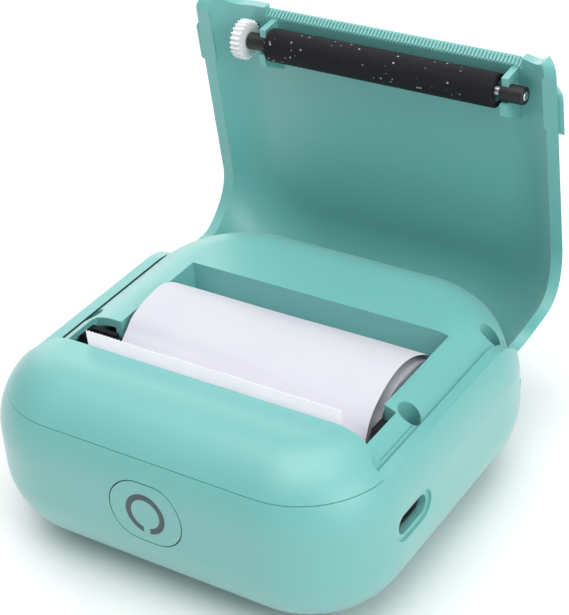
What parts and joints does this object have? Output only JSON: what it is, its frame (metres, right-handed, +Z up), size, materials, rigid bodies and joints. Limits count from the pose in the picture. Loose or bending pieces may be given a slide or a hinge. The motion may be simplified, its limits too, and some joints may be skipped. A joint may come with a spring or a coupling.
{
  "type": "portable thermal printer",
  "caption": "Pocket thermal printer with a hinged lid that carries the platen, a paper roll in its bay, a power button and a USB-C socket.",
  "frame": {"origin": "middle of the flat bottom, under the middle of the closed body", "axes": "+X to the right seen from the front, +Y to the rear where the lid's hinge is, +Z up"},
  "size_m": [0.0862, 0.0964, 0.0806],
  "materials": {
    "mint_plastic": "satin moulded",
    "black_plastic": "fine matt",
    "white_plastic": "smooth moulded",
    "brass": "machined",
    "head_ceramic": "glazed strip on a matt plate",
    "aluminium": "extruded",
    "steel": "plain bright",
    "circuit_board": "solder mask",
    "flex_film": "smooth film",
    "battery_wrap": "foil pouch",
    "foam": "fine foam",
    "paper": "smooth coated",
    "cardboard": "plain",
    "rubber": "ground, dusty",
    "light_ring": "smoked window"
  },
  "bodies": {
    "root": {"lower_case": "mint_plastic", "upper_case": "mint_plastic", "mechanism_frame": "black_plastic", "print_head": "head_ceramic", "head_heatsink": "aluminium", "head_springs": "steel", "stepper_motor": "steel", "gear_pins": "steel", "main_board": "circuit_board", "usb_c_shell": "steel", "usb_c_tongue": "black_plastic", "button_switch": "black_plastic", "flex_connector": "white_plastic", "head_flex_cable": "flex_film", "paper_sensor": "black_plastic", "battery": "battery_wrap", "battery_pad": "foam", "case_screws": "steel", "board_screws": "steel", "frame_screws": "steel", "hinge_pins": "steel", "paper_web": "paper"},
    "lid": {"lid_cover": "mint_plastic", "platen_bushings": "black_plastic"},
    "platen": {"platen_shaft": "steel", "platen_rubber": "rubber", "platen_gear": "white_plastic"},
    "roll": {"paper_roll": "paper", "paper_core": "cardboard"},
    "button": {"power_button": "mint_plastic", "button_light_ring": "light_ring"},
    "motor_rotor": {"motor_pinion": "brass"},
    "compound": {"compound_gear": "black_plastic"},
    "output": {"output_gear": "black_plastic"}
  },
  "joints": [
    {"name": "lid_hinge", "type": "hinge", "parent": "root", "child": "lid", "pos_m": [0, 0.0364, 0.0189], "axis": [1, 0, 0], "range_deg": [0, 84], "deforming": ["paper_web"]},
    {"name": "platen_spin", "type": "hinge", "parent": "lid", "child": "platen", "pos_m": [0.0026, 0.04362, 0.07215], "axis": [1, 0, 0], "continuous": true},
    {"name": "paper_roll_spin", "type": "hinge", "parent": "root", "child": "roll", "pos_m": [0.0026, 0.0006, 0.0199], "axis": [1, 0, 0], "continuous": true},
    {"name": "button_press", "type": "slide", "parent": "root", "child": "button", "axis": [0, 1, 0], "range_m": [0, 0.0008], "stiffness_N_per_m": 400, "springref_m": -0.0004},
    {"name": "compound_spin", "type": "hinge", "parent": "root", "child": "compound", "pos_m": [-0.03, -0.02335, 0.02314], "axis": [1, 0, 0], "continuous": true},
    {"name": "output_spin", "type": "hinge", "parent": "root", "child": "output", "pos_m": [-0.0295, -0.01763, 0.02414], "axis": [1, 0, 0], "continuous": true},
    {"name": "motor_spin", "type": "hinge", "parent": "root", "child": "motor_rotor", "pos_m": [-0.03, -0.0319, 0.026], "axis": [1, 0, 0], "continuous": true}
  ],
  "couplings": [
    {"joint": "output_spin", "follows": "compound_spin", "ratio": -0.5},
    {"joint": "motor_spin", "follows": "compound_spin", "ratio": -2.5}
  ]
}
